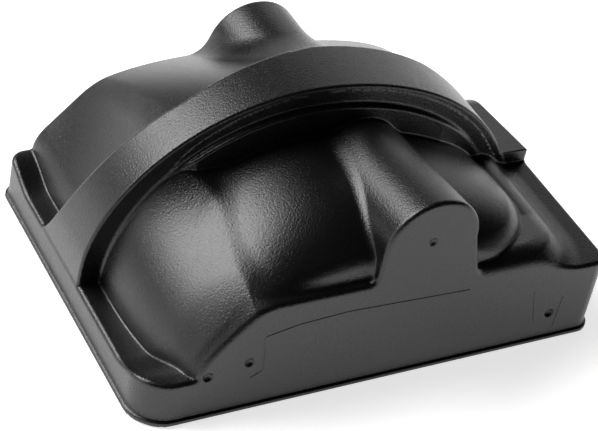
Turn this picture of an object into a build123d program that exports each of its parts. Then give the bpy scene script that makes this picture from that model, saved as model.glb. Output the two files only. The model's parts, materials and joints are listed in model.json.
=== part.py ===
"""Air filter housing: a thermoformed cover over a moulded base tray with a round filter element.

Millimetres, +Z up, the long side along X, the front face towards -Y.
The origin is the middle of the footprint, at the underside of the flange.
"""
from build123d import *
import os
from math import cos, radians, sin, tan

# ---- footprint and sheet ----
FLANGE_LENGTH = 270.0          # X, over the flange lip
FLANGE_DEPTH = 194.0           # Y, over the flange lip
LIP_OUT = 3.2                  # how far the lip stands out of the walls
LIP_THICK = 3.2
SHEET = 3.0                    # wall of the formed sheet
CORNER_RADIUS = 18.0           # upright corners of the walls
HALF_X = FLANGE_LENGTH / 2
HALF_Y = FLANGE_DEPTH / 2

# ---- cover heights ----
LEFT_RIM = 19.5
RIGHT_SHOULDER = 48.6
REAR_RIGHT_SHOULDER = 57.0
CRESCENT_DECK = 60.0
BAND_TOP = 123.7
ARCH_FOOT = 19.0               # where the upright part of each arch ends

# ---- arch band across the cover ----
BAND_FRONT = -8.0              # Y
BAND_BACK = 21.5
BAND_LEFT = -131.5             # X
BAND_RIGHT = 124.0
ARCH_PEAK = -13.5              # X of every arch's highest line
BAND_STEP = 11.0               # the band stands this far out of the front dome
STRIP_FRONT = -12.0            # narrow strip of dome in front of the band

# ---- front dome, cut off by a deck that slopes down to the front ----
DOME_FRONT_LEFT = -111.0
DOME_FRONT_RIGHT = 104.0
DOME_FRONT_TOP = 92.0
DECK_AT_FRONT = 66.0
DECK_AT_STRIP = 86.4
SECOND_FRONT = -89.0           # Y of the raised body's front face
SECOND_LEFT = -110.5
SECOND_RIGHT = 119.0
SECOND_TOP_BACK = 96.0
SECOND_TOP_FRONT = 74.5
SECOND_FOOT = 10.0
CRESCENT_RIGHT = 107.0
CRESCENT_FOOT = 112.0

# ---- rear body ----
REAR_LEFT = -120.0
REAR_RIGHT = 117.0
REAR_TOP_AT_BAND = 120.0
REAR_TOP_AT_BACK = 81.0

# ---- tunnels, D-shaped in section ----
TUNNEL_RADIUS = 27.0
TUNNEL_SIDE_DRAFT = 8.0        # degrees
FRONT_TUNNEL_X = 13.5
FRONT_TUNNEL_AXIS_FRONT = 86.0
FRONT_TUNNEL_AXIS_BACK = 74.5
REAR_TUNNEL_X = 3.0
REAR_TUNNEL_AXIS = 80.0
MOUTH_HOLE_RADIUS = 19.0

# ---- filter and its axis ----
FILTER_X = -12.0
FILTER_Y = 0.0
STUD_RADIUS = 3.0
STUD_TOP = 90.0
RUNNING_GAP = 0.05
FREE_GAP = 0.5
CAP_BOTTOM = 9.5
CAP_THICK = 6.0
MEDIA_HEIGHT = 48.0
CAP_INNER = 34.5
CAP_OUTER = 56.5
INNER_SCREEN_RADIUS = 36.0
SCREEN_WALL = 0.8
PLEAT_INNER = 37.0
PLEAT_OUTER = 53.0
PLEAT_COUNT = 44
PAPER = 0.7
OUTER_SCREEN_RADIUS = 54.6
FOAM_INNER = 57.0
FOAM_OUTER = 61.5
FOAM_OVERLAP = 3.0             # onto each cap
HOLD_PLATE_RADIUS = 24.0
HOLD_PLATE_THICK = 2.0
WASHER_RADIUS = 8.0
WASHER_THICK = 2.5
NUT_HUB_RADIUS = 6.0
NUT_HUB_HEIGHT = 8.0
WING_REACH = 16.0
WING_THICK = 2.6
WING_HEIGHT = 10.0

# ---- base tray ----
TRAY_BOTTOM = 1.5
TRAY_THICK = 3.0
TRAY_TOP = TRAY_BOTTOM + TRAY_THICK
SEAL_WALL = 1.6
SEAL_LIP = 6.0
SEAL_GAP = 0.2
RIB_HEIGHT = 4.0
RIB_THICK = 2.2

# ---- cover fastening ----
SCREW_X = 110.0
SCREW_Y = 66.0
SCREW_BOSS_RADIUS = 9.0
SCREW_BOSS_TOP = 9.0
SCREW_POCKET_RADIUS = 6.2
SCREW_POCKET_TOP = 6.0
SCREW_HEAD_RADIUS = 4.6
SCREW_HEAD_HEIGHT = 3.0
SCREW_RADIUS = 2.5
SCREW_TIP = 15.0
SCREW_WASHER_RADIUS = 5.8
SCREW_WASHER_THICK = 1.0
BLOCK_WIDTH = 18.0
BLOCK_TOP = LEFT_RIM - SHEET
INSERT_RADIUS = 3.6

# ---- outlet ----
OUTLET_RADIUS = 20.0
ADAPTER_RADIUS = 46.0
ADAPTER_COLLAR = 36.8
ADAPTER_TOP = 9.5
GASKET_THICK = 1.0
OUTLET_STUD_CIRCLE = 58.0
OUTLET_STUD_HOLE = 3.2
ADAPTER_SCREW_CIRCLE = 83.0
ADAPTER_SCREW_RADIUS = 2.0
ADAPTER_SCREW_HEAD = 3.6
BRIDGE_LENGTH = 50.0
BRIDGE_WIDTH = 12.0
BRIDGE_THICK = 3.0
BRIDGE_SCREW_X = 22.0

# ---- mounting grommets in the tray ----
GROMMET_X = 85.0
GROMMET_Y = 50.0
GROMMET_RADIUS = 9.0
GROMMET_NECK = 6.4
SLEEVE_OUTER = 4.2
SLEEVE_BORE = 3.25
GROMMET_TOP = 6.5

# ---- intake in the rear tunnel ----
INTAKE_BORE = 16.0
INTAKE_FLANGE = 22.5
INTAKE_OUTSIDE = 2.4
INTAKE_INSIDE = 5.0
SCREEN_SEAT_RADIUS = 18.4
SCREEN_THICK = 1.0
SNAP_RING_WALL = 2.4
SNAP_RING_THICK = 1.4

FAR = 400.0                    # larger than the object, for half spaces


def section(points_and_arcs, y):
    """A closed face in an XZ plane at Y = y from edges drawn as (x, z)."""
    wire = Wire(points_and_arcs)
    return Plane(origin=(0, y, 0), x_dir=(1, 0, 0), z_dir=(0, -1, 0)).location * Face(wire)


def arch_face(y, left, right, peak, foot, top, bottom=0.0):
    """Two quarter ellipses of one height that meet at the peak, on upright sides."""
    height = top - foot
    left_arc = Edge.make_ellipse(peak - left, height, start_angle=90, end_angle=180)
    right_arc = Edge.make_ellipse(right - peak, height, start_angle=0, end_angle=90)
    edges = [
        Edge.make_line((left, bottom), (left, foot)),
        Pos(peak, foot) * left_arc,
        Pos(peak, foot) * right_arc,
        Edge.make_line((right, foot), (right, bottom)),
        Edge.make_line((right, bottom), (left, bottom)),
    ]
    return section(edges, y)


def arch_body(near, far):
    """A body ruled between two arch faces, each given as arch_face arguments."""
    return loft([arch_face(**near), arch_face(**far)], ruled=True)


def block(x0, x1, y0, y1, z0, z1):
    """A box from its two opposite corners."""
    size = Box(x1 - x0, y1 - y0, z1 - z0)
    return Pos((x0 + x1) / 2, (y0 + y1) / 2, (z0 + z1) / 2) * size


def rounded_slab(inset, z0, z1, radius=CORNER_RADIUS):
    """The footprint inside the lip, moved in by inset on every side."""
    length = FLANGE_LENGTH - 2 * (LIP_OUT + inset)
    depth = FLANGE_DEPTH - 2 * (LIP_OUT + inset)
    face = RectangleRounded(length, depth, radius - inset)
    return Pos(0, 0, z0) * extrude(face, z1 - z0)


def below_deck(inset):
    """Everything under the deck that slopes down from the strip to the front."""
    slope = (DECK_AT_STRIP - DECK_AT_FRONT) / (STRIP_FRONT + HALF_Y)
    drop = inset * (1 + slope * slope) ** 0.5
    front_z = DECK_AT_FRONT - slope * HALF_Y - drop
    outline = Polyline((-FAR, -FAR), (-FAR, front_z - slope * (FAR - 2 * HALF_Y)),
                       (FAR, front_z + slope * (FAR + 2 * HALF_Y)), (FAR, -FAR), close=True)
    side = Plane(origin=(0, 0, 0), x_dir=(0, 1, 0), z_dir=(1, 0, 0))
    return extrude(side * make_face(outline), FAR / 2, both=True)


def tunnel_face(y, x, axis, inset, bottom=0.0):
    """A D: a half circle on sides that flare by the draft."""
    radius = TUNNEL_RADIUS - inset
    flare = (axis - bottom) * tan(radians(TUNNEL_SIDE_DRAFT))
    edges = [
        Edge.make_line((x - radius - flare, bottom), (x - radius, axis)),
        Edge.make_three_point_arc((x - radius, axis), (x, axis + radius), (x + radius, axis)),
        Edge.make_line((x + radius, axis), (x + radius + flare, bottom)),
        Edge.make_line((x + radius + flare, bottom), (x - radius - flare, bottom)),
    ]
    return section(edges, y)


def cover_mass(inset):
    """The cover's solid shape, moved in by inset; inset 0 is the outside."""
    wall_y = HALF_Y
    bottom = 0.0 if inset == 0 else -5.0
    pan = rounded_slab(inset, bottom, LEFT_RIM - inset)
    band = arch_body(
        dict(y=BAND_FRONT + inset, left=BAND_LEFT + inset, right=BAND_RIGHT - inset, peak=ARCH_PEAK,
             foot=ARCH_FOOT, top=BAND_TOP - inset, bottom=bottom),
        dict(y=BAND_BACK - inset, left=BAND_LEFT + inset, right=BAND_RIGHT - inset, peak=ARCH_PEAK,
             foot=ARCH_FOOT, top=BAND_TOP - inset, bottom=bottom))
    strip_arch = dict(left=BAND_LEFT + BAND_STEP + inset, right=BAND_RIGHT - BAND_STEP - inset,
                      peak=ARCH_PEAK, foot=ARCH_FOOT, top=BAND_TOP - BAND_STEP - inset, bottom=bottom)
    strip = arch_body(dict(y=STRIP_FRONT + inset, **strip_arch), dict(y=BAND_BACK, **strip_arch))
    dome = arch_body(
        dict(y=-wall_y, left=DOME_FRONT_LEFT + inset, right=DOME_FRONT_RIGHT - inset, peak=ARCH_PEAK,
             foot=ARCH_FOOT, top=DOME_FRONT_TOP - inset, bottom=bottom),
        dict(y=0.0, **strip_arch))
    left_half = block(-HALF_X, ARCH_PEAK, -HALF_Y - 1, HALF_Y, bottom, BAND_TOP)
    dome = dome & below_deck(inset) & left_half
    second = arch_body(
        dict(y=SECOND_FRONT + inset, left=SECOND_LEFT + inset, right=SECOND_RIGHT - inset,
             peak=ARCH_PEAK, foot=SECOND_FOOT, top=SECOND_TOP_FRONT - inset, bottom=bottom),
        dict(y=0.0, left=SECOND_LEFT + inset, right=SECOND_RIGHT - inset,
             peak=ARCH_PEAK, foot=SECOND_FOOT, top=SECOND_TOP_BACK - inset, bottom=bottom))
    crescent_profile = Polyline(
        (ARCH_PEAK, bottom), (ARCH_PEAK, CRESCENT_DECK - inset), (CRESCENT_RIGHT - inset, CRESCENT_DECK - inset),
        (CRESCENT_FOOT - inset, RIGHT_SHOULDER - inset), (HALF_X, RIGHT_SHOULDER - inset),
        (HALF_X, bottom), close=True)
    front_plane = Plane(origin=(0, 0, 0), x_dir=(1, 0, 0), z_dir=(0, -1, 0))
    right_deck = extrude(front_plane * make_face(crescent_profile), wall_y)
    rear_right = block(0, HALF_X, BAND_FRONT + inset, wall_y, bottom, REAR_RIGHT_SHOULDER - inset)
    rear = arch_body(
        dict(y=0.0, left=REAR_LEFT + inset, right=REAR_RIGHT - inset, peak=ARCH_PEAK,
             foot=ARCH_FOOT, top=REAR_TOP_AT_BAND - inset, bottom=bottom),
        dict(y=wall_y, left=REAR_LEFT + inset, right=REAR_RIGHT - inset, peak=ARCH_PEAK,
             foot=ARCH_FOOT, top=REAR_TOP_AT_BACK - inset, bottom=bottom))
    front_tunnel = loft([
        tunnel_face(-wall_y, FRONT_TUNNEL_X, FRONT_TUNNEL_AXIS_FRONT, inset, bottom),
        tunnel_face(0.0, FRONT_TUNNEL_X, FRONT_TUNNEL_AXIS_BACK, inset, bottom)], ruled=True)
    rear_tunnel = loft([
        tunnel_face(0.0, REAR_TUNNEL_X, REAR_TUNNEL_AXIS, inset, bottom),
        tunnel_face(wall_y, REAR_TUNNEL_X, REAR_TUNNEL_AXIS, inset, bottom)], ruled=True)
    inside_walls = rounded_slab(inset, bottom, BAND_TOP + SHEET)
    mass = pan + (band + strip + dome + second + right_deck + rear_right + rear + front_tunnel
                  + rear_tunnel) & inside_walls
    return mass


def rod(radius, z0, z1, x=0.0, y=0.0):
    """An upright cylinder between two heights."""
    return Pos(x, y, (z0 + z1) / 2) * Cylinder(radius, z1 - z0)


def ring(outer, inner, z0, z1, x=0.0, y=0.0):
    """An upright tube between two heights."""
    return rod(outer, z0, z1, x, y) - rod(inner, z0 - 1, z1 + 1, x, y)


def rod_y(radius, y0, y1, x, z):
    """A cylinder along Y."""
    return Pos(x, (y0 + y1) / 2, z) * Rot(90, 0, 0) * Cylinder(radius, y1 - y0)


def four_corners(x, y):
    """The four points at plus and minus x and y."""
    return [(-x, -y), (x, -y), (x, y), (-x, y)]


def around(count, circle, start):
    """Points spaced round the filter's axis on a circle of the given diameter."""
    angles = [radians(start + 360 * i / count) for i in range(count)]
    return [(FILTER_X + circle / 2 * cos(a), FILTER_Y + circle / 2 * sin(a)) for a in angles]


# ---- cover group ----
def upper_cover():
    shell = cover_mass(0.0) - cover_mass(SHEET)
    lip = extrude(RectangleRounded(FLANGE_LENGTH, FLANGE_DEPTH, CORNER_RADIUS + LIP_OUT), LIP_THICK)
    lip = lip - rounded_slab(SHEET / 2, -1, LIP_THICK + 1)
    mouth = rod_y(MOUTH_HOLE_RADIUS, HALF_Y - 20, HALF_Y + 5, REAR_TUNNEL_X, REAR_TUNNEL_AXIS)
    return shell + lip - mouth


def mounting_blocks():
    wall_x = HALF_X - LIP_OUT - SHEET
    blocks = []
    for x, y in four_corners(SCREW_X, SCREW_Y):
        side = 1 if x > 0 else -1
        inner = SCREW_X - BLOCK_WIDTH / 2
        low, high = sorted((side * inner, side * wall_x))
        body = block(low, high, y - BLOCK_WIDTH / 2, y + BLOCK_WIDTH / 2, SCREW_BOSS_TOP, BLOCK_TOP)
        blocks.append(body - rod(INSERT_RADIUS, SCREW_BOSS_TOP - 1, BLOCK_TOP + 1, x, y))
    return blocks


def threaded_inserts():
    top = BLOCK_TOP - FREE_GAP
    return [ring(INSERT_RADIUS, SCREW_RADIUS + RUNNING_GAP, SCREW_BOSS_TOP, top, x, y)
            for x, y in four_corners(SCREW_X, SCREW_Y)]


def rear_wall_y():
    return HALF_Y - LIP_OUT


def intake_grommet():
    outer_face = rear_wall_y() + INTAKE_OUTSIDE
    inner_face = rear_wall_y() - SHEET - INTAKE_INSIDE
    x, z = REAR_TUNNEL_X, REAR_TUNNEL_AXIS
    neck = rod_y(MOUTH_HOLE_RADIUS, inner_face, outer_face, x, z)
    outside = rod_y(INTAKE_FLANGE, rear_wall_y(), outer_face, x, z)
    inside = rod_y(INTAKE_FLANGE, inner_face, rear_wall_y() - SHEET, x, z)
    bore = rod_y(INTAKE_BORE, inner_face - 1, outer_face + 1, x, z)
    seat = rod_y(SCREEN_SEAT_RADIUS, inner_face - 1, inner_face + SCREEN_THICK + SNAP_RING_THICK, x, z)
    return neck + outside + inside - bore - seat


def intake_screen():
    start = rear_wall_y() - SHEET - INTAKE_INSIDE + SNAP_RING_THICK
    return rod_y(SCREEN_SEAT_RADIUS, start, start + SCREEN_THICK, REAR_TUNNEL_X, REAR_TUNNEL_AXIS)


def screen_snap_ring():
    start = rear_wall_y() - SHEET - INTAKE_INSIDE
    x, z = REAR_TUNNEL_X, REAR_TUNNEL_AXIS
    body = rod_y(SCREEN_SEAT_RADIUS, start, start + SNAP_RING_THICK, x, z)
    hole = rod_y(SCREEN_SEAT_RADIUS - SNAP_RING_WALL, start - 1, start + SNAP_RING_THICK + 1, x, z)
    gap = block(x - 2, x + 2, start - 1, start + SNAP_RING_THICK + 1, z - SCREEN_SEAT_RADIUS - 1, z)
    return body - hole - gap


# ---- tray group ----
def tray_plate():
    seal_room = SEAL_GAP + SEAL_WALL
    return rounded_slab(SHEET + seal_room, TRAY_BOTTOM, TRAY_TOP)


def base_tray():
    tray = tray_plate()
    for x, y in four_corners(SCREW_X, SCREW_Y):
        tray = tray + rod(SCREW_BOSS_RADIUS, TRAY_BOTTOM, SCREW_BOSS_TOP, x, y)
    for y in (-SCREW_Y, SCREW_Y):
        reach = SCREW_X - SCREW_BOSS_RADIUS / 2
        tray = tray + block(-reach, reach, y - RIB_THICK / 2, y + RIB_THICK / 2,
                            TRAY_TOP, TRAY_TOP + RIB_HEIGHT)
    for x in (-SCREW_X, SCREW_X):
        reach = SCREW_Y - SCREW_BOSS_RADIUS / 2
        tray = tray + block(x - RIB_THICK / 2, x + RIB_THICK / 2, -reach, reach,
                            TRAY_TOP, TRAY_TOP + RIB_HEIGHT)
    for x, y in four_corners(SCREW_X, SCREW_Y):
        tray = tray - rod(SCREW_POCKET_RADIUS, 0, SCREW_POCKET_TOP, x, y)
        tray = tray - rod(SCREW_RADIUS + FREE_GAP, 0, SCREW_BOSS_TOP + 1, x, y)
    for x, y in four_corners(GROMMET_X, GROMMET_Y):
        tray = tray - rod(GROMMET_NECK, 0, TRAY_TOP + 1, x, y)
    for x, y in around(4, ADAPTER_SCREW_CIRCLE, 0):
        tray = tray - rod(ADAPTER_SCREW_RADIUS, 0, TRAY_TOP + 1, x, y)
    return tray - rod(ADAPTER_COLLAR + 0.2, 0, TRAY_TOP + 1, FILTER_X, FILTER_Y)


def edge_seal():
    outside = rounded_slab(SHEET + SEAL_GAP, 0, TRAY_TOP + SEAL_WALL)
    inside = rounded_slab(SHEET + SEAL_GAP + SEAL_LIP, -1, TRAY_TOP + SEAL_WALL + 1)
    return outside - inside - tray_plate()


def cover_screws():
    head_top = SCREW_POCKET_TOP - SCREW_WASHER_THICK
    screws = []
    for x, y in four_corners(SCREW_X, SCREW_Y):
        head = rod(SCREW_HEAD_RADIUS, head_top - SCREW_HEAD_HEIGHT, head_top, x, y)
        shank = rod(SCREW_RADIUS, head_top - 0.5, SCREW_TIP, x, y)
        socket = Pos(x, y, head_top - SCREW_HEAD_HEIGHT) * extrude(RegularPolygon(2.3, 6), 1.8)
        screws.append(head + shank - socket)
    return screws


def cover_washers():
    top = SCREW_POCKET_TOP
    return [ring(SCREW_WASHER_RADIUS, SCREW_RADIUS + FREE_GAP, top - SCREW_WASHER_THICK, top, x, y)
            for x, y in four_corners(SCREW_X, SCREW_Y)]


def mounting_grommets():
    grommets = []
    for x, y in four_corners(GROMMET_X, GROMMET_Y):
        body = rod(GROMMET_RADIUS, 0, TRAY_BOTTOM, x, y) + rod(GROMMET_NECK, 0, GROMMET_TOP, x, y)
        body = body + rod(GROMMET_RADIUS, TRAY_TOP, GROMMET_TOP, x, y)
        grommets.append(body - rod(SLEEVE_OUTER, -1, GROMMET_TOP + 1, x, y))
    return grommets


def grommet_sleeves():
    return [ring(SLEEVE_OUTER, SLEEVE_BORE, 0, GROMMET_TOP, x, y)
            for x, y in four_corners(GROMMET_X, GROMMET_Y)]


def outlet_gasket():
    gasket = ring(ADAPTER_RADIUS, ADAPTER_COLLAR + 0.2, TRAY_TOP, TRAY_TOP + GASKET_THICK, FILTER_X, FILTER_Y)
    for x, y in around(4, ADAPTER_SCREW_CIRCLE, 0):
        gasket = gasket - rod(ADAPTER_SCREW_RADIUS + 0.3, 0, ADAPTER_TOP, x, y)
    return gasket


def countersunk(x, y, reach):
    """A countersunk screw shape flush with the adapter, pointing down."""
    depth = ADAPTER_SCREW_HEAD - ADAPTER_SCREW_RADIUS
    head = Pos(x, y, ADAPTER_TOP - depth / 2) * Cone(ADAPTER_SCREW_RADIUS, ADAPTER_SCREW_HEAD, depth)
    return head + rod(ADAPTER_SCREW_RADIUS, reach, ADAPTER_TOP - depth, x, y)


def outlet_adapter():
    disc = rod(ADAPTER_RADIUS, TRAY_TOP + GASKET_THICK, ADAPTER_TOP, FILTER_X, FILTER_Y)
    adapter = disc + rod(ADAPTER_COLLAR, 0, ADAPTER_TOP, FILTER_X, FILTER_Y)
    adapter = adapter - rod(OUTLET_RADIUS, -1, ADAPTER_TOP + 1, FILTER_X, FILTER_Y)
    for x, y in around(4, OUTLET_STUD_CIRCLE, 45):
        adapter = adapter - rod(OUTLET_STUD_HOLE, -1, ADAPTER_TOP + 1, x, y)
    for x, y in around(4, ADAPTER_SCREW_CIRCLE, 0):
        adapter = adapter - countersunk(x, y, 0)
    for side in (-1, 1):
        adapter = adapter - rod(1.5, ADAPTER_TOP - 6, ADAPTER_TOP + 1, FILTER_X + side * BRIDGE_SCREW_X, FILTER_Y)
    return adapter


def adapter_screws():
    screws = []
    for x, y in around(4, ADAPTER_SCREW_CIRCLE, 0):
        slot = block(x - ADAPTER_SCREW_HEAD, x + ADAPTER_SCREW_HEAD, y - 0.4, y + 0.4,
                     ADAPTER_TOP - 0.8, ADAPTER_TOP + 1)
        screws.append(countersunk(x, y, TRAY_BOTTOM) - slot)
    return screws


def stud_bridge():
    bar = Pos(FILTER_X, FILTER_Y, ADAPTER_TOP) * extrude(
        SlotOverall(BRIDGE_LENGTH, BRIDGE_WIDTH), BRIDGE_THICK)
    bar = bar + rod(NUT_HUB_RADIUS, ADAPTER_TOP, ADAPTER_TOP + 2 * BRIDGE_THICK, FILTER_X, FILTER_Y)
    for side in (-1, 1):
        bar = bar - rod(1.5, 0, ADAPTER_TOP + BRIDGE_THICK + 1, FILTER_X + side * BRIDGE_SCREW_X, FILTER_Y)
    return bar - rod(STUD_RADIUS, 0, STUD_TOP, FILTER_X, FILTER_Y)


def bridge_screws():
    top = ADAPTER_TOP + BRIDGE_THICK
    screws = []
    for side in (-1, 1):
        x = FILTER_X + side * BRIDGE_SCREW_X
        body = rod(2.6, top, top + 1.6, x, FILTER_Y) + rod(1.5, ADAPTER_TOP - 5.5, top, x, FILTER_Y)
        screws.append(body - block(x - 3, x + 3, FILTER_Y - 0.4, FILTER_Y + 0.4, top + 0.9, top + 3))
    return screws


def filter_stud():
    return rod(STUD_RADIUS, ADAPTER_TOP, STUD_TOP, FILTER_X, FILTER_Y)


# ---- filter group ----
MEDIA_BOTTOM = CAP_BOTTOM + CAP_THICK
MEDIA_TOP = MEDIA_BOTTOM + MEDIA_HEIGHT
FILTER_TOP = MEDIA_TOP + CAP_THICK


def filter_lower_cap():
    return ring(CAP_OUTER, CAP_INNER, CAP_BOTTOM, MEDIA_BOTTOM, FILTER_X, FILTER_Y)


def filter_upper_cap():
    return ring(CAP_OUTER, STUD_RADIUS + FREE_GAP, MEDIA_TOP, FILTER_TOP, FILTER_X, FILTER_Y)


def filter_inner_screen():
    return ring(INNER_SCREEN_RADIUS, INNER_SCREEN_RADIUS - SCREEN_WALL, MEDIA_BOTTOM, MEDIA_TOP,
                FILTER_X, FILTER_Y)


def filter_outer_screen():
    return ring(OUTER_SCREEN_RADIUS, OUTER_SCREEN_RADIUS - SCREEN_WALL, MEDIA_BOTTOM, MEDIA_TOP,
                FILTER_X, FILTER_Y)


def pleat_outline(outer, inner):
    """A star of paper folds as one closed line."""
    step = 360 / PLEAT_COUNT
    points = []
    for fold in range(PLEAT_COUNT):
        for angle, radius in ((fold * step, outer), ((fold + 0.5) * step, inner)):
            points.append((radius * cos(radians(angle)), radius * sin(radians(angle))))
    return make_face(Polyline(*points, close=True))


def filter_pleats():
    paper = pleat_outline(PLEAT_OUTER, PLEAT_INNER + PAPER * 3) - pleat_outline(PLEAT_OUTER - PAPER * 3, PLEAT_INNER)
    return Pos(FILTER_X, FILTER_Y, MEDIA_BOTTOM) * extrude(paper, MEDIA_HEIGHT)


def foam_prefilter():
    return ring(FOAM_OUTER, FOAM_INNER, MEDIA_BOTTOM - FOAM_OVERLAP, MEDIA_TOP + FOAM_OVERLAP,
                FILTER_X, FILTER_Y)


def filter_hold_plate():
    return ring(HOLD_PLATE_RADIUS, STUD_RADIUS + FREE_GAP, FILTER_TOP, FILTER_TOP + HOLD_PLATE_THICK,
                FILTER_X, FILTER_Y)


def sealing_washer():
    start = FILTER_TOP + HOLD_PLATE_THICK
    return ring(WASHER_RADIUS, STUD_RADIUS + RUNNING_GAP, start, start + WASHER_THICK, FILTER_X, FILTER_Y)


def wing_nut():
    start = FILTER_TOP + HOLD_PLATE_THICK + WASHER_THICK
    hub = Pos(FILTER_X, FILTER_Y, start + NUT_HUB_HEIGHT / 2) * Cone(
        NUT_HUB_RADIUS, NUT_HUB_RADIUS - 1.2, NUT_HUB_HEIGHT)
    wing = Polyline((0, 1), (NUT_HUB_RADIUS, 1), (WING_REACH, 5), (WING_REACH, 5 + WING_HEIGHT),
                    (NUT_HUB_RADIUS + 4, 4 + WING_HEIGHT), (0, 6), close=True)
    plane = Plane(origin=(FILTER_X, FILTER_Y, start), x_dir=(1, 0, 0), z_dir=(0, -1, 0))
    blade = extrude(plane * make_face(wing), WING_THICK / 2, both=True)
    turned = Pos(FILTER_X, FILTER_Y, 0) * Rot(0, 0, 180) * Pos(-FILTER_X, -FILTER_Y, 0) * blade
    bore = rod(STUD_RADIUS + RUNNING_GAP, 0, STUD_TOP + 20, FILTER_X, FILTER_Y)
    return hub + blade + turned - bore


PARTS = [
    upper_cover, mounting_blocks, threaded_inserts, intake_grommet, intake_screen, screen_snap_ring,
    base_tray, edge_seal, cover_screws, cover_washers, mounting_grommets, grommet_sleeves,
    outlet_gasket, outlet_adapter, adapter_screws, stud_bridge, bridge_screws, filter_stud,
    filter_lower_cap, filter_upper_cap, filter_inner_screen, filter_outer_screen, filter_pleats,
    foam_prefilter, filter_hold_plate, sealing_washer, wing_nut,
]

os.makedirs("parts", exist_ok=True)
for make in PARTS:
    made = make()
    solids = made if isinstance(made, list) else made.solids()
    shape = solids[0] if len(solids) == 1 else Compound(children=list(solids))
    export_step(shape, f"parts/{make.__name__}.step")
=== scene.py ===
"""Looks of the air filter housing: a black formed cover on its tray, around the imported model.

Metres throughout, except in the cover's shape, which is worked out in millimetres.
"""
import json
from math import asin, cos, pi, radians, sin

import bpy
import numpy as np
from mathutils import Matrix, Vector, noise

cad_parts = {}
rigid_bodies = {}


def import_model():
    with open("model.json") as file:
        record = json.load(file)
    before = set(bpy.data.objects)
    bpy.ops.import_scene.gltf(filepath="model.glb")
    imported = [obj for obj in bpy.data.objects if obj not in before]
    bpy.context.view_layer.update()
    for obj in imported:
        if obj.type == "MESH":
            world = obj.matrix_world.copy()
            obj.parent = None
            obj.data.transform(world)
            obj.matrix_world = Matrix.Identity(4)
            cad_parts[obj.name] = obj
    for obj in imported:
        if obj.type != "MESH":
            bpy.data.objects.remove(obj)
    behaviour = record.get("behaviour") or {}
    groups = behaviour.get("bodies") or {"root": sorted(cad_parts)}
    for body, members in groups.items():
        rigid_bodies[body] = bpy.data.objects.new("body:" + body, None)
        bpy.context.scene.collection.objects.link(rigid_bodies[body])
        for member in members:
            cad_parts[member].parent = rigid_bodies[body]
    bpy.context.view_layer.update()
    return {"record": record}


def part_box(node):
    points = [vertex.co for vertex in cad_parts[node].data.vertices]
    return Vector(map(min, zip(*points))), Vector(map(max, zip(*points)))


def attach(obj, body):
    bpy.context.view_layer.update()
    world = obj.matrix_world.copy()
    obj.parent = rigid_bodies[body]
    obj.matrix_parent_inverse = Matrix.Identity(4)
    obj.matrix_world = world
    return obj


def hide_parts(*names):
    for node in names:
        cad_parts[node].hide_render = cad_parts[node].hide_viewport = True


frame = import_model()

MM = 0.001

# ---- cover, millimetres ----
HALF_X = 133.4                 # walls at the flange, inside the lip
HALF_Y = 95.2
WALL_DRAFT = 0.01
FRONT_LEFT_CORNER = 19.0       # upright corners; the near left one is the softest
OTHER_CORNERS = 9.0
LIP = dict(width=1.6, height=3.2, edge=0.8, root=1.0)
SHEET = 3.4
EDGE = 2.4                     # rounding of the outer edges
CREASE = 2.0                   # rounding of the inner corners
PEAK = -13.5                   # X of the arches' highest line
FOOT = 18.9                    # height where the arches stand upright

RIM = 19.5                     # ledge round the arches
RIM_CREASE = 1.3
NEAR_RIM = dict(rise=7.0, start=-60, run=28)
FAR_RIM = dict(rise=8.0, start=62, run=30)

BAND = dict(left=-133.5, right=124.0, top=123.7)
BAND_FRONT = -8.0
BAND_BACK = 16.0
BAND_BACK_LEAN = 0.85
BAND_EDGE = 1.6
BAND_FLARE = dict(left=25.0, right=5.5, fade=30)      # how much wider the band is at its feet
BAND_WIDENING = dict(by=12.0, side=-75, run=75, low=60, rise=40)     # and over its top

STRIP = dict(left=-120.7, right=110.5, top=112.9)     # the step under the band
STRIP_FRONT = -12.0
STRIP_EDGE = 1.2
STRIP_ENDS = dict(left=-92, left_run=14, right=90, right_run=24)

DOME = dict(top=86.5, rise=26.4, fade=19, lean=14.5, length=86, end=20)
DECK_FRONT = 66.15             # height of the deck at the front wall
DECK_SLOPE = 0.2475
DECK_EDGE = 1.2
DECK_STRETCH = 1.03            # a sloping plane's height over its distance
FACET = dict(height=29.5, x=-112, across=0.99, back=0.75, edge=6.0, stretch=1.6)

BODY = dict(left=-110.7, right=118.8, top=96.5, peak=-16.2, foot=8.9)
BODY_DROOP = 5.5e-7
BODY_SPREAD = 0.26
BODY_END = dict(side=95, front=-90, corner=45, lean=0.45, twist=0.12, edge=5.0)
BODY_CREASE = 4.0

CRESCENT = dict(height=60.0, rise=0.16, start=-60, side=102, front=-92, corner=24, slope=0.9, stretch=1.345)
CRESCENT_EDGE = 4.0
SHOULDER = dict(height=48.6, crease=5.0, left=44)
SHOULDER_CREASE = 2.0

TUNNEL = 27.0                  # radius of both duct humps
FRONT_TUNNEL = dict(x=13.5, height=86.4, slope=0.1284, left_flare=0.03, right_flare=0.27, crease=4.0)
MOUTH = dict(x=3.0, z=80.0, radius=19.0, flare=0.14, crease=11.0, reach=70)

REAR = dict(left=-120, right=117, top=120, start=21.5, fall=0.6, edge=4.0, crease=1.5)
REAR_BOXY = 0.01               # how fast the rear arch squares off to the back
FLANK = dict(x=-87, x_lean=0.043, height=92, fall=0.27, foot_x=-121, foot=22, foot_rise=0.156)
REAR_SHOULDER = dict(height=57, slope=0.1, bend=42, fall=0.03, left=60, crease=3.0)
OVERLAP = 2                    # how far the front pieces run into the band

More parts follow.
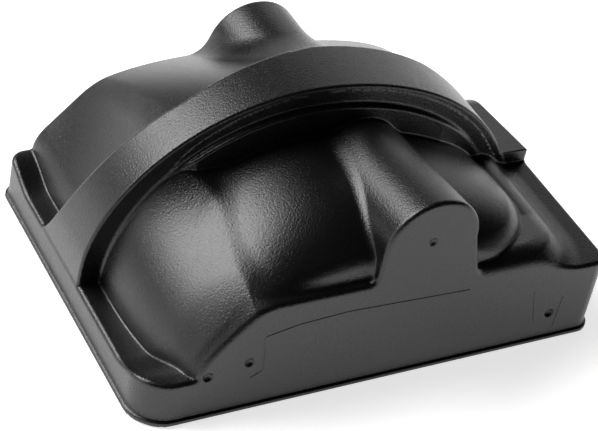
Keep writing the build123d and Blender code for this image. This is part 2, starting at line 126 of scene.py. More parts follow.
BEAD_LINES = (
    ((-76.1, 21.1), (-69.4, 24.6), (-70.5, 38.6), (-72.4, 47.3), (-54, 51), (-26.5, 52.7), (44.3, 49.7)),
    ((88, 36.7), (92.9, 16.2)),
    ((108.3, 28.9), (107.5, 8.6)),
)
BEAD_DEPTH = 0.2               # how deep a bead's middle lies in the wall
DIMPLES = ((-78, 31.9), (-99.9, 27.8), (13.2, 88.6), (102.3, 18.9))
DIMPLE = dict(radius=3.0, out=0.8, edge=0.5)

GRID = 1.0
TRIANGLES = 190000

# ---- repeated pieces, metres ----
BEAD = 0.0005
BEAD_CORNER = 0.002
SCREEN_WALL = 0.0008
HOLE_SHARE = 0.62
PAPER = 0.0006
PLEATS = 44
PLEAT_DEPTH = 0.0152
PLEAT_STEPS = 12
PLEAT_ROWS = 9
PLEAT_WANDER = dict(turns=150, angle=0.0012)
FOLD_SHARPNESS = 0.98
WEAVE = dict(pitch=0.0016, wire=0.00022, rim=0.00045, lines=23, steps=6)
FOAM = dict(gap=0.0002, thick=0.0041, crown=0.0016, around=360, rows=76, end_rows=6,
            pit=0.00035, pores=900, lumps=240)


def join(a, b, radius):
    """Both shapes together, the inner corner between them rounded."""
    corner = np.hypot(np.maximum(radius - a, 0), np.maximum(radius - b, 0))
    return np.maximum(radius, np.minimum(a, b)) - corner


def cut(a, b, radius):
    """What is inside both shapes, the outer edge between them rounded."""
    return -join(-a, -b, radius)


def ease(share):
    """0 to 1 with soft ends."""
    share = np.clip(share, 0, 1)
    return share * share * (3 - 2 * share)


def arch(x, z, left, right, top, peak=PEAK, foot=FOOT):
    """Two quarter ellipses of one height on upright sides."""
    across = x - peak
    half = np.where(across < 0, peak - left, right - peak)
    height = top - foot
    up = np.maximum(z - foot, 0)
    inner = np.hypot(across / half, up / height)
    slope = np.hypot(across / half ** 2, up / height ** 2)
    return inner * (inner - 1) / np.maximum(slope, 1e-5)


def rounded_box(px, py, radius):
    """Distance outside two sides, given from the centre of their rounded corner."""
    return np.hypot(np.maximum(px, 0), np.maximum(py, 0)) + np.minimum(np.maximum(px, py), 0) - radius


def footprint(x, y, z):
    """The rounded rectangle of the walls, with their draft."""
    draft = WALL_DRAFT * z
    corner = np.where((x < 0) & (y < 0), FRONT_LEFT_CORNER, OTHER_CORNERS)
    return rounded_box(np.abs(x) - HALF_X + corner + draft, np.abs(y) - HALF_Y + corner + draft, corner)


def plan_corner(x, y, right, front, radius):
    """How far a point is outside a block's right and front sides, their corner rounded."""
    return rounded_box(x - right + radius, front + radius - y, radius)


def dee(x, z, left_flare, right_flare):
    """A half circle on straight sides that flare by their own tangents."""
    flare = np.where(x < 0, left_flare, right_flare)
    side = (np.abs(x) - TUNNEL + flare * z) / np.sqrt(1 + flare ** 2)
    return np.where(z > 0, np.hypot(x, z) - TUNNEL, side)


def front_dome(x, y, z):
    """The dome left of the deck, the sloping deck cut into it, and its front corner flattened."""
    away = np.maximum(BAND_FRONT - y, 0)
    left = STRIP["left"] + DOME["lean"] * (away / DOME["length"]) ** 3
    top = DOME["top"] + DOME["rise"] * np.exp(-away / DOME["fade"])
    dome = arch(x, z, left, STRIP["right"], top)
    deck = (z - DECK_FRONT - DECK_SLOPE * (y + HALF_Y)) / DECK_STRETCH
    shape = cut(dome, deck, DECK_EDGE)
    rise = FACET["across"] * (x - FACET["x"]) + FACET["back"] * (y + HALF_Y)
    facet = (z - FACET["height"] - rise) / FACET["stretch"]
    shape = cut(shape, facet, FACET["edge"])
    return np.maximum(shape, x - DOME["end"])


def second_body(x, y, z):
    """The raised body on the deck, falling ever steeper to the front."""
    away = STRIP_FRONT - y
    top = BODY["top"] - BODY_DROOP * np.maximum(away, 0) ** 4
    right = BODY["right"] + BODY_SPREAD * away
    body = arch(x, z, BODY["left"], right, top, peak=BODY["peak"], foot=BODY["foot"])
    lean = BODY_END["lean"] * (z - CRESCENT["height"])
    end = plan_corner(x + lean, y - BODY_END["twist"] * lean, BODY_END["side"], BODY_END["front"],
                      BODY_END["corner"])
    return cut(body, end, BODY_END["edge"])


def right_deck(x, y, z):
    """The crescent deck right of the raised body, and the shoulder under it."""
    top = z - CRESCENT["height"] - CRESCENT["rise"] * np.maximum(CRESCENT["start"] - y, 0)
    plan = plan_corner(x, y, CRESCENT["side"], CRESCENT["front"], CRESCENT["corner"])
    slope = (z - CRESCENT["height"] - 1 + CRESCENT["slope"] * plan) / CRESCENT["stretch"]
    deck = join(cut(top, slope, CRESCENT_EDGE), z - SHOULDER["height"], SHOULDER["crease"])
    return np.maximum(deck, SHOULDER["left"] - x)


def front_tunnel(x, y, z):
    """The hump that runs from the band to the front wall."""
    axis = FRONT_TUNNEL["height"] - FRONT_TUNNEL["slope"] * (y + HALF_Y)
    return dee(x - FRONT_TUNNEL["x"], z - axis, FRONT_TUNNEL["left_flare"], FRONT_TUNNEL["right_flare"])


def rear_body(x, y, z):
    """The rear arch that falls to the back wall, boxier there, its left flank a flatter facet."""
    back = np.maximum(y - REAR["start"], 0)
    top = REAR["top"] - REAR["fall"] * back
    power = 2 + REAR_BOXY * back
    across = x - PEAK
    half = np.where(across < 0, PEAK - REAR["left"], REAR["right"] - PEAK)
    share = np.abs(across) / half
    up = np.maximum(z - FOOT, 0) / (top - FOOT)
    round_off = (share ** power + up ** power) ** (1 / power)
    grow = np.hypot(share ** (power - 1) / half, up ** (power - 1) / (top - FOOT))
    body = (round_off - 1) * round_off ** (power - 1) / np.maximum(grow, 1e-4)
    crease_x = FLANK["x"] + FLANK["x_lean"] * back
    crease_z = FLANK["height"] - FLANK["fall"] * back
    foot_z = FLANK["foot"] + FLANK["foot_rise"] * back
    run = crease_x - FLANK["foot_x"]
    rise = crease_z - foot_z
    facet = ((z - foot_z) * run - (x - FLANK["foot_x"]) * rise) / np.hypot(run, rise)
    return cut(body, facet, REAR["edge"])


def rear_shoulder(x, y, z):
    """The right shoulder behind the band, curving down to the back wall."""
    bend = np.maximum(y - REAR_SHOULDER["bend"], 0)
    slope = REAR_SHOULDER["slope"]
    fall = REAR_SHOULDER["fall"]
    top = REAR_SHOULDER["height"] - slope * (y - BAND_FRONT) - fall * bend ** 2
    shoulder = (z - top) / np.sqrt(1 + (slope + 2 * fall * bend) ** 2)
    return np.maximum(shoulder, REAR_SHOULDER["left"] - x)


def rim_height(x, y):
    """The ledge round the arches, higher at both left corners."""
    near = NEAR_RIM["rise"] * ease((NEAR_RIM["start"] - y) / NEAR_RIM["run"])
    far = FAR_RIM["rise"] * ease((y - FAR_RIM["start"]) / FAR_RIM["run"])
    return RIM + (near + far) * (x < 0)


def strip(x, y, z):
    """The step under the band, which comes further forward over the raised body."""
    left = np.clip((x - STRIP_ENDS["left"]) / STRIP_ENDS["left_run"], 0, 1)
    right = np.clip((STRIP_ENDS["right"] - x) / STRIP_ENDS["right_run"], 0, 1)
    front = BAND_FRONT + (STRIP_FRONT - BAND_FRONT) * (left * right)
    return cut(arch(x, z, **STRIP), front - y, STRIP_EDGE)


def band(x, y, z):
    """The arched band, wider at its left foot and over its top."""
    foot = np.where(x < PEAK, BAND_FLARE["left"], BAND_FLARE["right"])
    flare = foot * np.exp(-np.maximum(z - FOOT, 0) / BAND_FLARE["fade"])
    over = np.clip((x - BAND_WIDENING["side"]) / BAND_WIDENING["run"], 0, 1)
    high = np.clip((z - BAND_WIDENING["low"]) / BAND_WIDENING["rise"], 0, 1)
    widening = BAND_WIDENING["by"] * over * high
    ends = np.maximum(BAND_FRONT - y, (y - BAND_BACK - flare - widening) * BAND_BACK_LEAN)
    return cut(arch(x, z, **BAND), ends, BAND_EDGE)


def front_half(x, y, z):
    """Everything in front of the band."""
    body = cut(second_body(x, y, z), BODY_END["front"] - y, EDGE)
    front = join(front_dome(x, y, z), body, BODY_CREASE)
    front = join(front, right_deck(x, y, z), SHOULDER_CREASE)
    front = join(front, front_tunnel(x, y, z), FRONT_TUNNEL["crease"])
    front = join(front, strip(x, y, z), STRIP_EDGE)
    return np.maximum(front, y - OVERLAP)


def rear_half(x, y, z):
    """Everything behind the band, with the hump that holds the intake."""
    rear = join(rear_body(x, y, z), rear_shoulder(x, y, z), REAR_SHOULDER["crease"])
    hump = dee(x - MOUTH["x"], z - MOUTH["z"], MOUTH["flare"], MOUTH["flare"])
    rear = join(rear, hump, MOUTH["crease"])
    return np.maximum(rear, BAND_FRONT + 0.5 - y)


def cover_skin(x, y, z):
    """How far a point is outside the cover's skin, without the lip."""
    body = join(front_half(x, y, z), band(x, y, z), CREASE)
    body = join(body, rear_half(x, y, z), REAR["crease"])
    body = join(body, z - rim_height(x, y), RIM_CREASE)
    body = cut(body, footprint(x, y, z), EDGE)
    for px, pz in DIMPLES:
        in_front = y + HALF_Y + DIMPLE["out"]
        dimple = np.sqrt((x - px) ** 2 + (z - pz) ** 2 + in_front ** 2) - DIMPLE["radius"]
        body = cut(body, -dimple, DIMPLE["edge"])
    return body


def cover_outside(x, y, z):
    """How far a point is outside the cover, lip and mouth hole counted."""
    lip = cut(footprint(x, y, z) - LIP["width"], z - LIP["height"], LIP["edge"])
    outside = join(cover_skin(x, y, z), lip, LIP["root"])
    hole = np.hypot(x - MOUTH["x"], z - MOUTH["z"]) - MOUTH["radius"]
    return np.maximum(outside, np.where(y > MOUTH["reach"], -hole, outside))


def cover_wall(x, y, z, step):
    """The formed sheet on a grid: its outside, and its inside one sheet deeper."""
    skin = cover_skin(x, y, z)
    slope = np.sqrt(sum(g ** 2 for g in np.gradient(skin, step)))
    depth = skin / np.clip(slope, 0.6, 2.0)
    wall = np.maximum(cover_outside(x, y, z), -(depth + SHEET))
    return np.maximum(wall, -z)


def grid_axes(low, high, step):
    return [np.arange(a - step, b + 2 * step, step, dtype=np.float32) for a, b in zip(low, high)]


def grid_surface(values, axes, step):
    """A quad mesh where the values are zero, one point in each cell that the surface crosses."""
    cells = tuple(n - 1 for n in values.shape)
    total = np.zeros(cells + (3,), np.float32)
    count = np.zeros(cells, np.int16)
    corners = [(i, j, k) for i in (0, 1) for j in (0, 1) for k in (0, 1)]

    def corner(c):
        return values[c[0]:c[0] + cells[0], c[1]:c[1] + cells[1], c[2]:c[2] + cells[2]]

    for c in corners:
        for axis in range(3):
            if c[axis]:
                continue
            d = list(c)
            d[axis] = 1
            a, b = corner(c), corner(d)
            crossed = (a < 0) != (b < 0)
            share = np.where(crossed, a / np.where(crossed, a - b, 1), 0)
            for other in range(3):
                total[..., other] += crossed * c[other] if other != axis else share
            count += crossed
    used = count > 0
    index = np.full(cells, -1, np.int64)
    index[used] = np.arange(used.sum())
    points = np.argwhere(used) + total[used] / count[used][:, None]
    points = np.array([a[0] for a in axes]) + points * step
    quads = []
    inside = values < 0
    for axis in range(3):
        u, v = (axis + 1) % 3, (axis + 2) % 3
        first = np.take(inside, range(values.shape[axis] - 1), axis)
        second = np.take(inside, range(1, values.shape[axis]), axis)
        edges = np.argwhere(first != second)
        ok = (edges[:, u] > 0) & (edges[:, v] > 0)
        ok &= (edges[:, u] < cells[u]) & (edges[:, v] < cells[v])
        edges = edges[ok]
        ring = []
        for du, dv in ((0, 0), (-1, 0), (-1, -1), (0, -1)):
            cell = edges.copy()
            cell[:, u] += du
            cell[:, v] += dv
            ring.append(index[tuple(cell.T)])
        ring = np.stack(ring, 1)
        turned = ~first[tuple(edges.T)]
        ring[turned] = ring[turned][:, ::-1]
        quads.append(ring)
    return points, np.concatenate(quads)


def steepness(points, field, probe=0.08):
    """The field's slope at each point."""
    return np.stack([field(*(points + offset).T) - field(*(points - offset).T)
                     for offset in np.eye(3) * probe], 1) / (2 * probe)


def settle(points, field, rounds=3):
    """Moves the points onto the zero of the field."""
    points = points.copy()
    for _ in range(rounds):
        slope = steepness(points, field)
        size = np.maximum((slope ** 2).sum(1), 0.3)
        points -= np.clip(slope * (field(*points.T) / size)[:, None], -0.4, 0.4)
    return points


def true_normals(obj, field, near=0.3):
    """Shading normals straight from the field where the mesh lies on it."""
    mesh = obj.data
    points = np.empty(len(mesh.vertices) * 3)
    mesh.vertices.foreach_get("co", points)
    points = points.reshape(-1, 3) / MM
    normals = np.empty(len(mesh.vertices) * 3)
    mesh.vertex_normals.foreach_get("vector", normals)
    normals = normals.reshape(-1, 3)
    on = (np.abs(field(*points.T)) < near) & (points[:, 2] > 1.0)
    slope = steepness(points[on], field, 0.15)
    slope /= np.maximum(np.linalg.norm(slope, axis=1), 1e-6)[:, None]
    agree = (slope * normals[on]).sum(1) > 0.5
    rows = np.flatnonzero(on)[agree]
    normals[rows] = slope[agree]
    mesh.normals_split_custom_set_from_vertices([tuple(n) for n in normals])


def mesh_object(name, points, faces, edges=()):
    """An object at the origin from points in metres."""
    mesh = bpy.data.meshes.new(name)
    mesh.from_pydata([tuple(p) for p in points], list(edges), [tuple(f) for f in faces])
    mesh.validate()
    mesh.update()
    obj = bpy.data.objects.new(name, mesh)
    bpy.context.scene.collection.objects.link(obj)
    return obj


def smooth(obj, angle=None):
    """Smooth shading, broken at edges sharper than the angle."""
    obj.data.shade_smooth()
    if angle is not None:
        obj.data.set_sharp_from_angle(angle=radians(angle))


def applied(obj):
    """The object's mesh with its modifiers made permanent."""
    bpy.context.view_layer.update()
    done = bpy.data.meshes.new_from_object(obj.evaluated_get(bpy.context.evaluated_depsgraph_get()))
    obj.modifiers.clear()
    old = obj.data
    obj.data = done
    bpy.data.meshes.remove(old)
    done.name = obj.name
    return obj


def cover_shell():
    """The cover as one closed sheet."""
    low = (-HALF_X - LIP["width"], -HALF_Y - LIP["width"], 0)
    high = (HALF_X + LIP["width"], HALF_Y + LIP["width"], BAND["top"])
    step = GRID * 1
    axes = grid_axes(low, high, step)
    values = cover_wall(*np.meshgrid(*axes, indexing="ij"), step)
    points, quads = grid_surface(values, axes, step)
    points = points.astype(np.float64)
    outer = np.abs(cover_outside(*points.T)) < 0.7 * step
    outer &= points[:, 2] > 0.6 * step
    points[outer] = settle(points[outer], cover_outside)
    points[:, 2] = np.maximum(points[:, 2], 0)
    obj = mesh_object("cover_shell", points * MM, quads)
    faces = 2 * len(quads)
    if faces > TRIANGLES:
        thinner = obj.modifiers.new("thinner", "DECIMATE")
        thinner.ratio = TRIANGLES / faces
        applied(obj)
    smooth(obj)
    true_normals(obj, cover_outside)
    return obj


# ---- materials ----
BLACK = (0.0022, 0.0045)       # the sheet varies between these
PATCH = 0.03                   # size of the faint cloudiness, metres
GRAIN_CELL = 0.001
GRAIN_SPECK = 0.0008
GRAIN_DEPTH = 0.00017


class Wire:
    """A node's output that takes Python arithmetic."""

    def __init__(self, build, socket):
        self.build = build
        self.socket = socket

    def maths(self, operation, first, second=0.0):
        return self.build.maths(operation, first, second)

    def __add__(self, other):
        return self.maths("ADD", self, other)

    def __radd__(self, other):
        return self.maths("ADD", other, self)

    def __sub__(self, other):
        return self.maths("SUBTRACT", self, other)

    def __rsub__(self, other):
        return self.maths("SUBTRACT", other, self)

    def __mul__(self, other):
        return self.maths("MULTIPLY", self, other)

    def __rmul__(self, other):
        return self.maths("MULTIPLY", other, self)

    def __truediv__(self, other):
        return self.maths("DIVIDE", self, other)

    def __rtruediv__(self, other):
        return self.maths("DIVIDE", other, self)

    def over(self, level):
        return self.maths("GREATER_THAN", self, level)

    def size(self):
        return self.maths("ABSOLUTE", self)


class Builder:
    """Adds nodes to a tree, with their settings first and then the values or links of their sockets."""

    def node(self, kind, settings=None, inputs=None, output=0):
        made = self.tree.nodes.new(kind)
        for key, value in (settings or {}).items():
            setattr(made, key, value)
        for key, value in (inputs or {}).items():
            for one in value if isinstance(value, list) else [value]:
                if isinstance(one, Wire):
                    self.tree.links.new(one.socket, made.inputs[key])
                else:
                    made.inputs[key].default_value = one
        return Wire(self, made.outputs[output])

    def maths(self, operation, first, second=0.0):
        return self.node("ShaderNodeMath", {"operation": operation}, {0: first, 1: second})


class Finish(Builder):
    """One material with a Principled surface, built by calls."""

    def __init__(self, name, **constants):
        self.material = bpy.data.materials.new(name)
        self.material.use_nodes = True
        self.tree = self.material.node_tree
        self.surface = self.tree.nodes["Principled BSDF"]
        for key, value in constants.items():
            self.surface.inputs[key.replace("_", " ")].default_value = value
        self.place = self.node("ShaderNodeTexCoord", output="Object")

    def noise(self, size, detail=2.0, roughness=0.5):
        """Noise with features of about this size in metres."""
        inputs = {"Vector": self.place, "Scale": 1 / size, "Detail": detail, "Roughness": roughness}
        return self.node("ShaderNodeTexNoise", {}, inputs)

    def cells(self, size):
        """Soft round cells of about this size in metres."""
        inputs = {"Vector": self.place, "Scale": 1 / size}
        return self.node("ShaderNodeTexVoronoi", {"feature": "SMOOTH_F1"}, inputs)

    def mix(self, share, first, second):
        """A colour between two."""
        inputs = {"Factor": share, 6: first, 7: second}
        return self.node("ShaderNodeMix", {"data_type": "RGBA"}, inputs, output=2)

    def drive(self, name, wire):
        self.tree.links.new(wire.socket, self.surface.inputs[name])

    def relief(self, height, depth):
        inputs = {"Height": height, "Distance": depth, "Strength": 1.0}
        self.drive("Normal", self.node("ShaderNodeBump", {}, inputs))


def grey(level):
    return (level, level, level, 1)


def cover_plastic():
    """Black thermoformed sheet with a fine haircell grain."""
    f = Finish("cover_plastic", Specular_IOR_Level=0.5)
    patch = f.noise(PATCH, 3.0)
    grain = f.cells(GRAIN_CELL) * 0.5 + f.noise(GRAIN_SPECK, 3.0, 0.6)
    f.drive("Base Color", f.mix(patch, grey(BLACK[0]), grey(BLACK[1])))
    f.drive("Roughness", 0.22 + 0.03 * patch + 0.07 * grain)
    f.relief(grain, GRAIN_DEPTH)
    return f.material


def plain_finish(name, colour, roughness, metallic=0.0, size=0.002, depth=0.00003, spread=0.25):
    """A finish with soft colour and roughness variation and a fine relief."""
    f = Finish(name, Metallic=metallic)
    cloud = f.noise(size * 8, 3.0)
    fine = f.noise(size * 0.4, 3.0)
    dark = tuple(c * (1 - spread) for c in colour) + (1,)
    light = tuple(min(c * (1 + spread), 1) for c in colour) + (1,)
    f.drive("Base Color", f.mix(cloud * 0.7 + fine * 0.3, dark, light))
    f.drive("Roughness", roughness - 0.08 + 0.16 * cloud)
    f.relief(fine, depth)
    return f.material


FINISHES = {
    "block_plastic": ((0.014, 0.014, 0.015), 0.5),
    "tray_plastic": ((0.012, 0.012, 0.013), 0.45),
    "brass": ((0.78, 0.56, 0.22), 0.32, 1.0),
    "rubber": ((0.013, 0.013, 0.013), 0.62),
    "wire_mesh": ((0.55, 0.55, 0.53), 0.34, 1.0),
    "spring_steel": ((0.42, 0.42, 0.43), 0.3, 1.0),
    "zinc_steel": ((0.62, 0.62, 0.58), 0.3, 1.0),
    "gasket_fibre": ((0.20, 0.17, 0.13), 0.85),
    "cast_aluminium": ((0.60, 0.61, 0.62), 0.42, 1.0),
    "cap_urethane": ((0.55, 0.12, 0.03), 0.55),
    "screen_steel": ((0.50, 0.50, 0.50), 0.35, 1.0),
    "filter_paper": ((0.80, 0.70, 0.48), 0.85),
    "filter_foam": ((0.03, 0.03, 0.032), 0.9),
}


# ---- what repeats ----
class Tree(Builder):
    """A geometry tree with named sizes that ends in one material."""

    def __init__(self, name, material, base=None, **sizes):
        self.name = name
        self.material = material
        self.base = base
        self.sizes = sizes
        self.tree = bpy.data.node_groups.new(name, "GeometryNodeTree")
        sockets = self.tree.interface
        if base:
            sockets.new_socket("Geometry", in_out="INPUT", socket_type="NodeSocketGeometry")
        self.keys = {}
        for key, value in sizes.items():
            kind = "NodeSocketInt" if isinstance(value, int) else "NodeSocketFloat"
            self.keys[key] = sockets.new_socket(key, in_out="INPUT", socket_type=kind).identifier
        sockets.new_socket("Geometry", in_out="OUTPUT", socket_type="NodeSocketGeometry")
        self.given = self.tree.nodes.new("NodeGroupInput")

    def size(self, key):
        return Wire(self, self.given.outputs[key])

    def axis(self, letter):
        place = self.node("GeometryNodeInputPosition")
        return self.node("ShaderNodeSeparateXYZ", {}, {0: place}, "XYZ".index(letter))

    def point(self, x, y, z):
        return self.node("ShaderNodeCombineXYZ", {}, {0: x, 1: y, 2: z})

    def moved(self, shape, place):
        return self.node("GeometryNodeSetPosition", {}, {"Geometry": shape, "Position": place})

    def grid(self, across, along, wide, deep):
        sizes = {"Size X": wide, "Size Y": deep, "Vertices X": across, "Vertices Y": along}
        return self.node("GeometryNodeMeshGrid", {}, sizes)

    def welded(self, shape):
        return self.node("GeometryNodeMergeByDistance", {}, {"Geometry": shape, "Distance": 0.000002})

    def thickened(self, shape, depth):
        """The open sheet with a second skin, closed round its edges."""
        inputs = {"Mesh": shape, "Offset Scale": depth, "Individual": False}
        outer = self.node("GeometryNodeExtrudeMesh", {"mode": "FACES"}, inputs)
        inner = self.node("GeometryNodeFlipFaces", {}, {"Mesh": shape})
        return self.welded(self.node("GeometryNodeJoinGeometry", {}, {0: [outer, inner]}))

    def tube(self, path, radius, sides=6):
        profile = self.node("GeometryNodeCurvePrimitiveCircle", {}, {"Resolution": sides, "Radius": radius})
        inputs = {"Curve": path, "Profile Curve": profile, "Fill Caps": True}
        return self.node("GeometryNodeCurveToMesh", {}, inputs)

    def made(self, shape):
        """The finished mesh, one object with no modifier."""
        real = self.node("GeometryNodeRealizeInstances", {}, {0: shape})
        real = self.node("GeometryNodeSetShadeSmooth", {}, {0: real})
        dressed = self.node("GeometryNodeSetMaterial", {}, {"Geometry": real, "Material": self.material})
        end = self.tree.nodes.new("NodeGroupOutput")
        self.tree.links.new(dressed.socket, end.inputs[0])
        obj = self.base or mesh_object(self.name, [], [])
        modifier = obj.modifiers.new(self.name, "NODES")
        modifier.node_group = self.tree
        for key, value in self.sizes.items():
            modifier[self.keys[key]] = value
        return applied(obj)


def perforated_screen(name, node, around, rows):
    """A rolled screen with rows of rounded holes."""
    low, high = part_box(node)
    t = Tree(name, finishes["screen_steel"], Radius=(high.x - low.x) / 2 - SCREEN_WALL, Height=high.z - low.z,
             Around=around, Rows=rows, Wall=SCREEN_WALL, Hole_Share=HOLE_SHARE)
    sheet = t.grid(t.size("Around") + 1, t.size("Rows") + 1, 2 * pi, t.size("Height"))
    angle = t.axis("X")
    height = t.axis("Y") + (low.z + high.z) / 2
    turn_x = t.maths("COSINE", angle) * t.size("Radius") + (low.x + high.x) / 2
    turn_y = t.maths("SINE", angle) * t.size("Radius") + (low.y + high.y) / 2
    sheet = t.welded(t.moved(sheet, t.point(turn_x, turn_y, height)))
    inputs = {"Mesh": sheet, "Offset Scale": 0.0, "Individual": True}
    panels = t.node("GeometryNodeExtrudeMesh", {"mode": "FACES"}, inputs)
    top = Wire(t, panels.socket.node.outputs["Top"])
    inputs = {0: panels, "Selection": top, "Scale": t.size("Hole_Share")}
    panels = t.node("GeometryNodeScaleElements", {"domain": "FACE"}, inputs)
    holes = t.node("GeometryNodeDeleteGeometry", {"domain": "FACE"}, {0: panels, "Selection": top})
    body = t.thickened(t.welded(holes), t.size("Wall"))
    body = t.node("GeometryNodeSubdivisionSurface", {}, {0: body, "Level": 1})
    return t.made(body)


def pleated_paper():
    """The paper folded in and out round the element."""
    low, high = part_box("filter_pleats")
    outer = (high.x - low.x) / 2 - PAPER
    t = Tree("paper_pleats", finishes["filter_paper"], Folds=PLEATS, Depth=PLEAT_DEPTH, Sheet=PAPER,
             Outer=outer, Height=high.z - low.z)
    sheet = t.grid(t.size("Folds") * PLEAT_STEPS + 1, PLEAT_ROWS, 2 * pi, t.size("Height"))
    angle = t.axis("X")
    fold = t.maths("SINE", angle * t.size("Folds")) * FOLD_SHARPNESS
    zigzag = t.maths("ARCSINE", fold) / asin(FOLD_SHARPNESS)
    lean = t.maths("SINE", t.axis("Y") * PLEAT_WANDER["turns"] + angle * 3) * PLEAT_WANDER["angle"]
    radius = t.size("Outer") - t.size("Depth") * (0.5 - 0.5 * zigzag)
    turn_x = t.maths("COSINE", angle + lean) * radius + (low.x + high.x) / 2
    turn_y = t.maths("SINE", angle + lean) * radius + (low.y + high.y) / 2
    height = t.axis("Y") + (low.z + high.z) / 2
    sheet = t.welded(t.moved(sheet, t.point(turn_x, turn_y, height)))
    return t.made(t.thickened(sheet, t.size("Sheet")))


def woven_screen():
    """Round woven wire in a bound rim, standing across the intake."""
    low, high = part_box("intake_screen")
    radius = (high.x - low.x) / 2
    t = Tree("woven_screen", finishes["wire_mesh"], Pitch=WEAVE["pitch"], Wire=WEAVE["wire"],
             Rim=WEAVE["rim"], Radius=radius)
    gaps = WEAVE["lines"] - 1
    reach = gaps * WEAVE["pitch"]
    parts = []
    for phase, turned in ((0.0, False), (pi, True)):
        sheet = t.grid(gaps * WEAVE["steps"] + 1, WEAVE["lines"], reach, reach)
        across, along = t.axis("X"), t.axis("Y")
        inside = t.size("Radius") - t.size("Rim") * 1.5
        far = t.maths("SQRT", across * across + along * along).over(inside)
        sheet = t.node("GeometryNodeDeleteGeometry", {"domain": "POINT"}, {0: sheet, "Selection": far})
        ends = t.tree.nodes.new("GeometryNodeInputMeshEdgeVertices")
        gap = t.node("ShaderNodeVectorMath", {"operation": "SUBTRACT"},
                     {0: Wire(t, ends.outputs["Position 1"]), 1: Wire(t, ends.outputs["Position 2"])})
        crossing = t.node("ShaderNodeSeparateXYZ", {}, {0: gap}, 1).size().over(0.0001)
        sheet = t.node("GeometryNodeDeleteGeometry", {"domain": "EDGE"}, {0: sheet, "Selection": crossing})
        wave = t.maths("COSINE", (across + along) / t.size("Pitch") * pi + phase) * t.size("Wire")
        wires = t.node("GeometryNodeMeshToCurve", {}, {0: sheet})
        place = t.point(along, wave, across) if turned else t.point(across, wave, along)
        parts.append(t.tube(t.moved(wires, place), t.size("Wire")))
    ring_sizes = {"Resolution": 96, "Radius": radius - WEAVE["rim"]}
    ring = t.node("GeometryNodeCurvePrimitiveCircle", {}, ring_sizes)
    ring = t.node("GeometryNodeTransform", {}, {"Geometry": ring, "Rotation": (pi / 2, 0, 0)})
    parts.append(t.tube(ring, t.size("Rim"), 8))
    middle = (low + high) / 2
    whole = t.node("GeometryNodeJoinGeometry", {}, {0: parts})
    return t.made(t.node("GeometryNodeTransform", {}, {"Geometry": whole, "Translation": tuple(middle)}))


def front_beads():
    """The thin raised lines on the front wall."""
    points, edges = [], []
    for line in BEAD_LINES:
        edges += [(len(points) + i, len(points) + i + 1) for i in range(len(line) - 1)]
        points += [(x * MM, (WALL_DRAFT * z - HALF_Y + BEAD_DEPTH) * MM, z * MM) for x, z in line]
    obj = mesh_object("front_beads", points, [], edges)
    t = Tree("front_beads_tree", finishes["cover_plastic"], obj, Bead=BEAD)
    path = t.node("GeometryNodeMeshToCurve", {}, {0: Wire(t, t.given.outputs["Geometry"])})
    path = t.node("GeometryNodeFilletCurve", {"mode": "POLY"},
                  {"Curve": path, "Radius": BEAD_CORNER, "Count": 4, "Limit Radius": True})
    return t.made(t.tube(path, t.size("Bead"), 8))


def sleeve_section(outer, half):
    """The foam's section, up its outside and down its inside, with crowned ends."""
    thick, crown = FOAM["thick"], FOAM["crown"]
    rise = [s * (half - crown) for s in np.linspace(-1, 1, FOAM["rows"])]
    over = np.linspace(0.1, 0.9, FOAM["end_rows"])
    section = [(outer, height) for height in rise]
    section += [(outer - thick * u, half - crown * (2 * u - 1) ** 2) for u in over]
    section += [(outer - thick, height) for height in reversed(rise)]
    section += [(outer - thick * u, crown * (2 * u - 1) ** 2 - half) for u in reversed(over)]
    return section


def foam_sleeve():
    """The open cell foam sleeve, its skin pitted and its ends rounded."""
    low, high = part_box("foam_prefilter")
    middle = (low + high) / 2
    section = sleeve_section((high.x - low.x) / 2 - FOAM["gap"], (high.z - low.z) / 2)
    size = len(section)
    points, faces = [], []
    for i in range(FOAM["around"]):
        angle = 2 * pi * i / FOAM["around"]
        after = ((i + 1) % FOAM["around"]) * size
        for k, (radius, height) in enumerate(section):
            spot = Vector((cos(angle) * radius, sin(angle) * radius, height))
            pit = noise.noise(spot * FOAM["pores"]) + 0.5 * noise.noise(spot * FOAM["lumps"])
            inwards = -1 if k < FOAM["rows"] else 1
            radius += inwards * FOAM["pit"] * (0.5 + 0.5 * pit)
            points.append((middle.x + cos(angle) * radius, middle.y + sin(angle) * radius, middle.z + height))
            faces.append((i * size + k, after + k, after + (k + 1) % size, i * size + (k + 1) % size))
    obj = mesh_object("foam_sleeve", points, faces)
    smooth(obj)
    obj.data.materials.append(finishes["filter_foam"])
    return obj


def fit(piece, body, slot, *nodes):
    """Hands a finished piece to its body; the slot is not used."""
    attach(piece, body)
    if nodes:
        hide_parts(*nodes)



# ---- floor, lights and camera ----
FLOOR_REACH = 6.0
FLOOR_DROP = 0.0005            # keeps the floor just clear of the tray
AIR = 0.012
TARGET = Vector((0, 0, 0.06))
SOFTBOXES = {                  # place, size, power
    "softbox_left": ((-1.15, 0.95, 1.55), (1.7, 1.4), 76),
    "softbox_back": ((1.3, 1.6, 0.75), (2.4, 1.0), 8),
    "softbox_low": ((-1.6, 0.1, 0.5), (1.4, 0.7), 4),
}
CAMERA = dict(yaw=0.602, pitch=0.675, roll=0.22, lens=118.53, distance=1.01741)
CAMERA_AIM = Vector((-0.01912, -0.02272, 0.054))


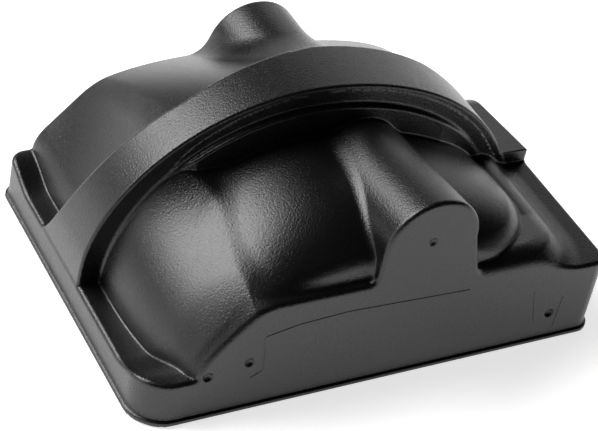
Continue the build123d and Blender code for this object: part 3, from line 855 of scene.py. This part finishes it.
def studio():
    """A white paper floor, dim air and three softboxes."""
    f = Finish("floor_paper", Specular_IOR_Level=0.2, Emission_Color=grey(1), Emission_Strength=0.72)
    f.drive("Base Color", f.mix(f.noise(0.5), grey(0.8), grey(0.84)))
    f.drive("Roughness", 0.7 + 0.1 * f.noise(0.3))
    corners = [(x * FLOOR_REACH, y * FLOOR_REACH, 0) for x, y in ((-1, -1), (1, -1), (1, 1), (-1, 1))]
    floor = mesh_object("floor", corners, [(0, 1, 2, 3)])
    floor.location.z = -FLOOR_DROP
    floor.data.materials.append(f.material)
    world = bpy.data.worlds.new("studio_air")
    bpy.context.scene.world = world
    world.use_nodes = True
    world.node_tree.nodes["Background"].inputs["Color"].default_value = grey(AIR)
    for name, (place, size, power) in SOFTBOXES.items():
        softbox(name, place, size, power)


def softbox(name, place, size, power):
    """A rectangular light turned to the housing."""
    light = bpy.data.lights.new(name, "AREA")
    light.shape = "RECTANGLE"
    light.size, light.size_y = size
    light.energy = power
    obj = bpy.data.objects.new(name, light)
    obj.location = place
    obj.rotation_euler = (TARGET - Vector(place)).to_track_quat("-Z", "Y").to_euler()
    bpy.context.scene.collection.objects.link(obj)


def camera():
    """A long lens above the near left corner."""
    yaw, pitch, roll = CAMERA["yaw"], CAMERA["pitch"], CAMERA["roll"]
    ahead = Vector((sin(yaw) * cos(pitch), cos(yaw) * cos(pitch), -sin(pitch)))
    right = Vector((cos(yaw), -sin(yaw), 0))
    up = right.cross(ahead)
    side = cos(roll) * right + sin(roll) * up
    top = cos(roll) * up - sin(roll) * right
    lens = bpy.data.cameras.new("camera")
    lens.sensor_width = 36
    lens.lens = CAMERA["lens"]
    obj = bpy.data.objects.new("camera", lens)
    turn = Matrix((side, top, -ahead)).transposed().to_4x4()
    obj.matrix_world = Matrix.Translation(CAMERA_AIM - ahead * CAMERA["distance"]) @ turn
    bpy.context.scene.collection.objects.link(obj)
    bpy.context.scene.camera = obj
    bpy.context.scene.view_settings.view_transform = "Standard"


camera()
studio()
finishes = {name: plain_finish(name, *values) for name, values in FINISHES.items()}
finishes["cover_plastic"] = cover_plastic()
for part in frame["record"]["subparts"]:
    kept = bpy.data.objects[part["node"]]
    kept.data.materials.clear()
    kept.data.materials.append(finishes[part["material_slot"]])

cover = cover_shell()
cover.data.materials.clear()
cover.data.materials.append(finishes["cover_plastic"])
fit(cover, "cover", "cover_plastic", "upper_cover")
fit(front_beads(), "cover", "cover_plastic")
fit(woven_screen(), "cover", "wire_mesh", "intake_screen")
for screen, node, around, rows in (("inner_screen", "filter_inner_screen", 56, 12),
                                   ("outer_screen", "filter_outer_screen", 80, 11)):
    fit(perforated_screen(screen, node, around, rows), "filter", "screen_steel", node)
fit(pleated_paper(), "filter", "filter_paper", "filter_pleats")
fit(foam_sleeve(), "filter", "filter_foam", "foam_prefilter")
